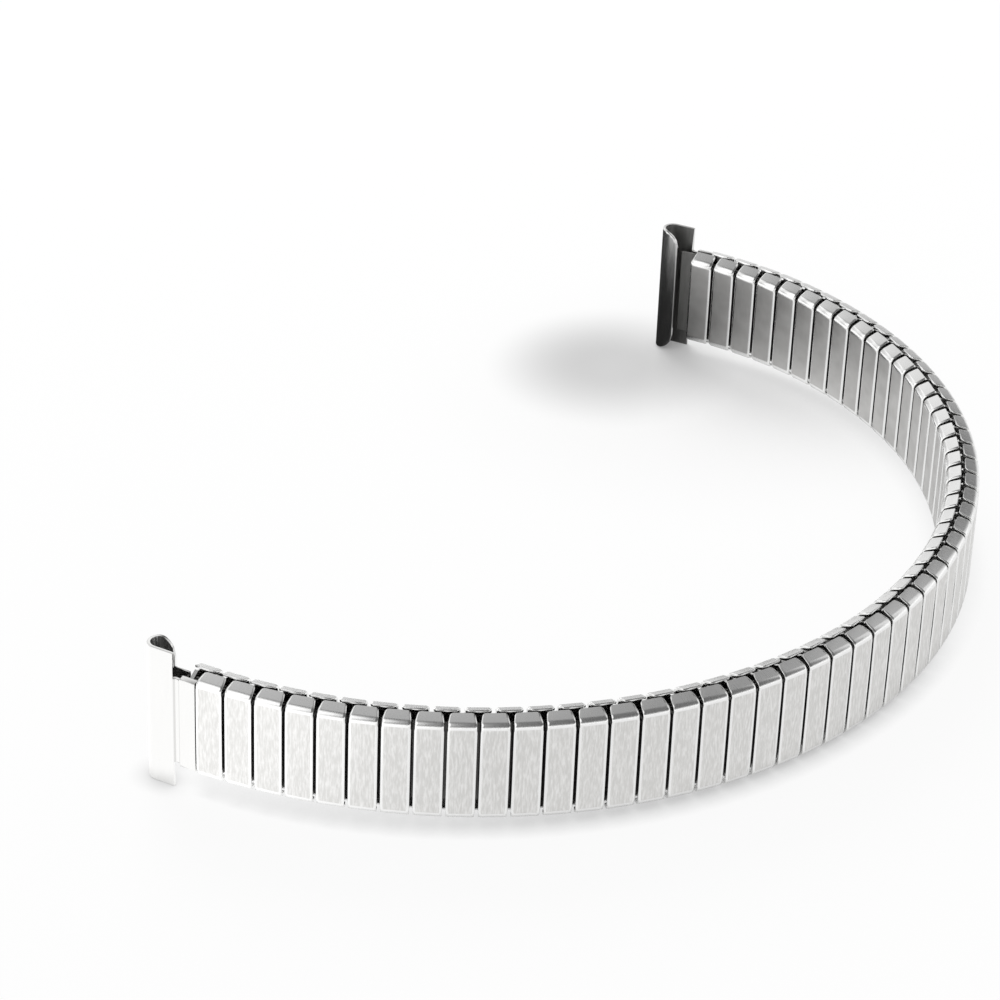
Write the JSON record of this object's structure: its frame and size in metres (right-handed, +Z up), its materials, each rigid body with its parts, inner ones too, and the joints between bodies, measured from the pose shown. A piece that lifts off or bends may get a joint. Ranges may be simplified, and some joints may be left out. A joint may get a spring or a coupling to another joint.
{
  "type": "expansion watch band",
  "caption": "Expansion watch band of two staggered rows of folded steel links joined by sprung bows, with rolled end pieces for spring bars.",
  "frame": {"origin": "middle of the overall box, on the surface that the band stands on", "axes": "+Z up across the band's width, +Y away from the viewer of the picture, +X to the right"},
  "size_m": [0.064, 0.0772, 0.0118],
  "materials": {
    "outer_link_steel": "fine brushed stainless face with polished edges",
    "inner_link_steel": "satin stainless with polished folds",
    "bow_steel": "bright drawn flat wire",
    "spring_steel": "plain rolled spring strip",
    "end_piece_steel": "polished stainless sheet"
  },
  "bodies": {
    "section_1": {"near_end_piece": "end_piece_steel", "outer_links_1": "outer_link_steel", "inner_links_1": "inner_link_steel", "bows_1": "bow_steel", "leaf_springs_1": "spring_steel"},
    "section_2": {"outer_links_2": "outer_link_steel", "inner_links_2": "inner_link_steel", "bows_2": "bow_steel", "leaf_springs_2": "spring_steel"},
    "section_3": {"outer_links_3": "outer_link_steel", "inner_links_3": "inner_link_steel", "bows_3": "bow_steel", "leaf_springs_3": "spring_steel"},
    "section_4": {"outer_links_4": "outer_link_steel", "inner_links_4": "inner_link_steel", "bows_4": "bow_steel", "leaf_springs_4": "spring_steel"},
    "section_5": {"outer_links_5": "outer_link_steel", "inner_links_5": "inner_link_steel", "bows_5": "bow_steel", "leaf_springs_5": "spring_steel"},
    "section_6": {"outer_links_6": "outer_link_steel", "inner_links_6": "inner_link_steel", "bows_6": "bow_steel", "leaf_springs_6": "spring_steel"},
    "section_7": {"outer_links_7": "outer_link_steel", "inner_links_7": "inner_link_steel", "bows_7": "bow_steel", "leaf_springs_7": "spring_steel"},
    "section_8": {"outer_links_8": "outer_link_steel", "inner_links_8": "inner_link_steel", "bows_8": "bow_steel", "leaf_springs_8": "spring_steel", "far_end_piece": "end_piece_steel"},
    "slider_1": {"sliding_link_1": "inner_link_steel", "sliding_spring_1": "spring_steel"},
    "bow_pair_1": {"swing_bows_1": "bow_steel"},
    "slider_2": {"sliding_link_2": "inner_link_steel", "sliding_spring_2": "spring_steel"},
    "bow_pair_2": {"swing_bows_2": "bow_steel"},
    "slider_3": {"sliding_link_3": "inner_link_steel", "sliding_spring_3": "spring_steel"},
    "bow_pair_3": {"swing_bows_3": "bow_steel"},
    "slider_4": {"sliding_link_4": "inner_link_steel", "sliding_spring_4": "spring_steel"},
    "bow_pair_4": {"swing_bows_4": "bow_steel"},
    "slider_5": {"sliding_link_5": "inner_link_steel", "sliding_spring_5": "spring_steel"},
    "bow_pair_5": {"swing_bows_5": "bow_steel"},
    "slider_6": {"sliding_link_6": "inner_link_steel", "sliding_spring_6": "spring_steel"},
    "bow_pair_6": {"swing_bows_6": "bow_steel"},
    "slider_7": {"sliding_link_7": "inner_link_steel", "sliding_spring_7": "spring_steel"},
    "bow_pair_7": {"swing_bows_7": "bow_steel"}
  },
  "joints": [
    {"name": "stretch_1", "type": "slide", "parent": "section_1", "child": "slider_1", "axis": [0.9979, -0.057, -0.0304], "range_m": [0, 0.0006], "stiffness_N_per_m": 10000},
    {"name": "bow_swing_1", "type": "hinge", "parent": "section_1", "child": "bow_pair_1", "pos_m": [-0.01276, -0.03801, 0.00527], "axis": [-0.0295, 0.0164, -0.9994], "range_deg": [0, 18.41]},
    {"name": "flex_1", "type": "hinge", "parent": "slider_1", "child": "section_2", "pos_m": [-0.0115, -0.03618, 0.00526], "axis": [0.0295, -0.0164, 0.9994], "range_deg": [-6, 12]},
    {"name": "stretch_2", "type": "slide", "parent": "section_2", "child": "slider_2", "axis": [0.9596, 0.2805, -0.0237], "range_m": [0, 0.0006], "stiffness_N_per_m": 10000},
    {"name": "bow_swing_2", "type": "hinge", "parent": "section_2", "child": "bow_pair_2", "pos_m": [0.00122, -0.03662, 0.00488], "axis": [-0.0295, 0.0164, -0.9994], "range_deg": [0, 18.41]},
    {"name": "flex_2", "type": "hinge", "parent": "slider_2", "child": "section_3", "pos_m": [0.00179, -0.03447, 0.0049], "axis": [0.0295, -0.0164, 0.9994], "range_deg": [-6, 12]},
    {"name": "stretch_3", "type": "slide", "parent": "section_3", "child": "slider_3", "axis": [0.7758, 0.6309, -0.0125], "range_m": [0, 0.0006], "stiffness_N_per_m": 10000},
    {"name": "bow_swing_3", "type": "hinge", "parent": "section_3", "child": "bow_pair_3", "pos_m": [0.01582, -0.02922, 0.00457], "axis": [-0.0295, 0.0164, -0.9994], "range_deg": [0, 18.41]},
    {"name": "flex_3", "type": "hinge", "parent": "slider_3", "child": "section_4", "pos_m": [0.01551, -0.02702, 0.00461], "axis": [0.0295, -0.0164, 0.9994], "range_deg": [-6, 12]},
    {"name": "stretch_4", "type": "slide", "parent": "section_4", "child": "slider_4", "axis": [0.5193, 0.8546, -0.0013], "range_m": [0, 0.0006], "stiffness_N_per_m": 10000},
    {"name": "bow_swing_4", "type": "hinge", "parent": "section_4", "child": "bow_pair_4", "pos_m": [0.0252, -0.01875, 0.00446], "axis": [-0.0295, 0.0164, -0.9994], "range_deg": [0, 18.41]},
    {"name": "flex_4", "type": "hinge", "parent": "slider_4", "child": "section_5", "pos_m": [0.02418, -0.01679, 0.00453], "axis": [0.0295, -0.0164, 0.9994], "range_deg": [-6, 12]},
    {"name": "stretch_5", "type": "slide", "parent": "section_5", "child": "slider_5", "axis": [0.1435, 0.9896, 0.012], "range_m": [0, 0.0006], "stiffness_N_per_m": 10000},
    {"name": "bow_swing_5", "type": "hinge", "parent": "section_5", "child": "bow_pair_5", "pos_m": [0.03097, -0.00343, 0.00455], "axis": [-0.0295, 0.0164, -0.9994], "range_deg": [0, 18.41]},
    {"name": "flex_5", "type": "hinge", "parent": "slider_5", "child": "section_6", "pos_m": [0.02925, -0.00202, 0.00462], "axis": [0.0295, -0.0164, 0.9994], "range_deg": [-6, 12]},
    {"name": "stretch_6", "type": "slide", "parent": "section_6", "child": "slider_6", "axis": [-0.2648, 0.964, 0.0237], "range_m": [0, 0.0006], "stiffness_N_per_m": 10000},
    {"name": "bow_swing_6", "type": "hinge", "parent": "section_6", "child": "bow_pair_6", "pos_m": [0.03022, 0.01292, 0.00484], "axis": [-0.0295, 0.0164, -0.9994], "range_deg": [0, 18.41]},
    {"name": "flex_6", "type": "hinge", "parent": "slider_6", "child": "section_7", "pos_m": [0.02808, 0.01353, 0.00491], "axis": [0.0295, -0.0164, 0.9994], "range_deg": [-6, 12]},
    {"name": "stretch_7", "type": "slide", "parent": "section_7", "child": "slider_7", "axis": [-0.5975, 0.8013, 0.0308], "range_m": [0, 0.0006], "stiffness_N_per_m": 10000},
    {"name": "bow_swing_7", "type": "hinge", "parent": "section_7", "child": "bow_pair_7", "pos_m": [0.02426, 0.02567, 0.00522], "axis": [-0.0295, 0.0164, -0.9994], "range_deg": [0, 18.41]},
    {"name": "flex_7", "type": "hinge", "parent": "slider_7", "child": "section_8", "pos_m": [0.02206, 0.02545, 0.00528], "axis": [0.0295, -0.0164, 0.9994], "range_deg": [-6, 12]}
  ],
  "couplings": [
    {"joint": "bow_swing_1", "follows": "stretch_1", "rad_per_m": 535.48},
    {"joint": "bow_swing_2", "follows": "stretch_1", "rad_per_m": 535.48},
    {"joint": "stretch_2", "follows": "stretch_1", "ratio": 1},
    {"joint": "bow_swing_3", "follows": "stretch_1", "rad_per_m": 535.48},
    {"joint": "stretch_3", "follows": "stretch_1", "ratio": 1},
    {"joint": "bow_swing_4", "follows": "stretch_1", "rad_per_m": 535.48},
    {"joint": "stretch_4", "follows": "stretch_1", "ratio": 1},
    {"joint": "bow_swing_5", "follows": "stretch_1", "rad_per_m": 535.48},
    {"joint": "stretch_5", "follows": "stretch_1", "ratio": 1},
    {"joint": "bow_swing_6", "follows": "stretch_1", "rad_per_m": 535.48},
    {"joint": "stretch_6", "follows": "stretch_1", "ratio": 1},
    {"joint": "bow_swing_7", "follows": "stretch_1", "rad_per_m": 535.48},
    {"joint": "stretch_7", "follows": "stretch_1", "ratio": 1}
  ]
}
